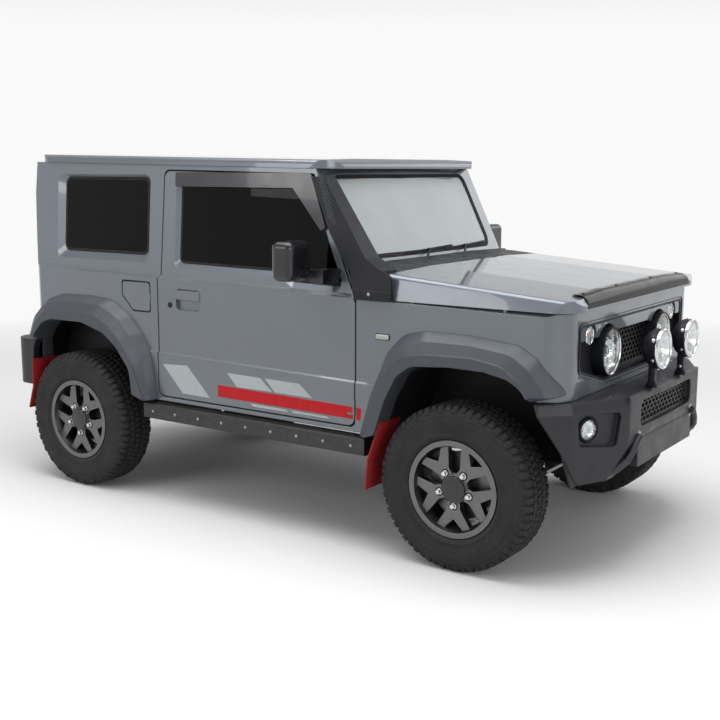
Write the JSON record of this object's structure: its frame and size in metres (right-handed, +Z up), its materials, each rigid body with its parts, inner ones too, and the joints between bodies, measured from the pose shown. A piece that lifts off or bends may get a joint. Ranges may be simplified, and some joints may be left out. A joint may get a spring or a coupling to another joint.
{
  "type": "small boxy off-road car",
  "caption": "Small boxy off-road car on a ladder frame, with opening doors, bonnet, fuel flap and side-hinged tailgate that carries the spare wheel, wheels that roll and steer, and a snorkel.",
  "frame": {"origin": "on the ground, below the middle of the overall box", "axes": "+X forward, +Y to the car's left, +Z up"},
  "size_m": [3.582, 1.93, 1.7241],
  "materials": {
    "body_paint": "metallic grey gloss",
    "flare_plastic": "dark grey grained",
    "black_plastic": "black grained",
    "gloss_black": "black gloss",
    "frame_paint": "black satin",
    "tyre_rubber": "matt",
    "flap_rubber": "red, smooth",
    "rim_alloy": "dark with machined faces",
    "tinted_glass": "dark tint",
    "clear_glass": "clear",
    "lamp_glass": "clear lens",
    "red_lens": "red lens",
    "seat_fabric": "black woven",
    "axle_iron": "black painted casting",
    "pipe_steel": "dull steel"
  },
  "bodies": {
    "body": {"arch_flares": "flare_plastic", "arch_liners": "black_plastic", "body_side_left": "body_paint", "body_side_right": "body_paint", "chassis_frame": "frame_paint", "cowl": "black_plastic", "dashboard": "black_plastic", "driveline": "axle_iron", "engine_block": "axle_iron", "exhaust": "pipe_steel", "floor_pan": "frame_paint", "front_axle": "axle_iron", "front_bumper": "flare_plastic", "front_lamps": "lamp_glass", "front_panel": "body_paint", "fuel_tank": "frame_paint", "grille": "black_plastic", "mud_flaps": "flap_rubber", "quarter_windows": "tinted_glass", "rear_axle": "axle_iron", "rear_bumper": "flare_plastic", "rear_frame": "body_paint", "rear_lamps": "red_lens", "roof_panel": "body_paint", "seats": "seat_fabric", "side_steps": "frame_paint", "snorkel": "black_plastic", "spot_lamps": "black_plastic", "suspension": "frame_paint", "windscreen": "clear_glass", "windscreen_frame": "body_paint", "wing_left": "body_paint", "wing_right": "body_paint", "wipers": "black_plastic"},
    "door_assembly_left": {"door_left": "body_paint", "door_glass_left": "tinted_glass", "door_mirror_left": "gloss_black", "rain_shield_left": "gloss_black"},
    "knuckle_left": {"knuckle_left": "axle_iron"},
    "wheel_front_left": {"tyre_front_left": "tyre_rubber", "rim_front_left": "rim_alloy"},
    "wheel_rear_left": {"tyre_rear_left": "tyre_rubber", "rim_rear_left": "rim_alloy"},
    "door_assembly_right": {"door_right": "body_paint", "door_glass_right": "tinted_glass", "door_mirror_right": "gloss_black", "rain_shield_right": "gloss_black"},
    "knuckle_right": {"knuckle_right": "axle_iron"},
    "wheel_front_right": {"tyre_front_right": "tyre_rubber", "rim_front_right": "rim_alloy"},
    "wheel_rear_right": {"tyre_rear_right": "tyre_rubber", "rim_rear_right": "rim_alloy"},
    "tailgate_assembly": {"tailgate": "body_paint", "tailgate_glass": "tinted_glass", "spare_tyre": "tyre_rubber", "spare_rim": "rim_alloy"},
    "bonnet": {"bonnet": "body_paint"},
    "fuel_flap": {"fuel_flap": "body_paint"},
    "tie_rod": {"tie_rod": "pipe_steel"},
    "steering_wheel": {"steering_wheel": "black_plastic"}
  },
  "joints": [
    {"name": "door_left_hinge", "type": "hinge", "parent": "body", "child": "door_assembly_left", "pos_m": [0.6205, 0.748, 0.9], "axis": [0, 0, -1], "range_deg": [0, 65]},
    {"name": "door_right_hinge", "type": "hinge", "parent": "body", "child": "door_assembly_right", "pos_m": [0.6205, -0.748, 0.9], "axis": [0, 0, 1], "range_deg": [0, 65]},
    {"name": "tailgate_hinge", "type": "hinge", "parent": "body", "child": "tailgate_assembly", "pos_m": [-1.531, -0.5935, 0.955], "axis": [0, 0, 1], "range_deg": [0, 85]},
    {"name": "bonnet_hinge", "type": "hinge", "parent": "body", "child": "bonnet", "pos_m": [0.7675, 0, 1.231], "axis": [0, -1, 0], "range_deg": [0, 56]},
    {"name": "fuel_flap_hinge", "type": "hinge", "parent": "body", "child": "fuel_flap", "pos_m": [-0.6145, -0.737, 1.022], "axis": [0, 0, 1], "range_deg": [0, 80]},
    {"name": "steer_left", "type": "hinge", "parent": "body", "child": "knuckle_left", "pos_m": [1.14, 0.617, 0.3525], "axis": [0, 0, 1], "range_deg": [-35, 35]},
    {"name": "steer_right", "type": "hinge", "parent": "body", "child": "knuckle_right", "pos_m": [1.14, -0.617, 0.3525], "axis": [0, 0, 1], "range_deg": [-35, 35]},
    {"name": "tie_rod_pivot", "type": "hinge", "parent": "knuckle_left", "child": "tie_rod", "pos_m": [1.258, 0.617, 0.3012], "axis": [0, 0, 1], "range_deg": [-35, 35]},
    {"name": "steering_wheel_turn", "type": "hinge", "parent": "body", "child": "steering_wheel", "pos_m": [0.215, -0.345, 0.985], "axis": [-0.9135, 0, 0.4067], "range_deg": [-560, 560]},
    {"name": "roll_front_left", "type": "hinge", "parent": "knuckle_left", "child": "wheel_front_left", "pos_m": [1.14, 0.6975, 0.3525], "axis": [0, 1, 0], "continuous": true},
    {"name": "roll_rear_left", "type": "hinge", "parent": "body", "child": "wheel_rear_left", "pos_m": [-1.11, 0.7025, 0.3525], "axis": [0, 1, 0], "continuous": true},
    {"name": "roll_front_right", "type": "hinge", "parent": "knuckle_right", "child": "wheel_front_right", "pos_m": [1.14, -0.6975, 0.3525], "axis": [0, 1, 0], "continuous": true},
    {"name": "roll_rear_right", "type": "hinge", "parent": "body", "child": "wheel_rear_right", "pos_m": [-1.11, -0.7025, 0.3525], "axis": [0, 1, 0], "continuous": true}
  ],
  "couplings": [
    {"joint": "steer_right", "follows": "steer_left", "ratio": 1},
    {"joint": "tie_rod_pivot", "follows": "steer_left", "ratio": -1},
    {"joint": "steering_wheel_turn", "follows": "steer_left", "ratio": 16}
  ]
}
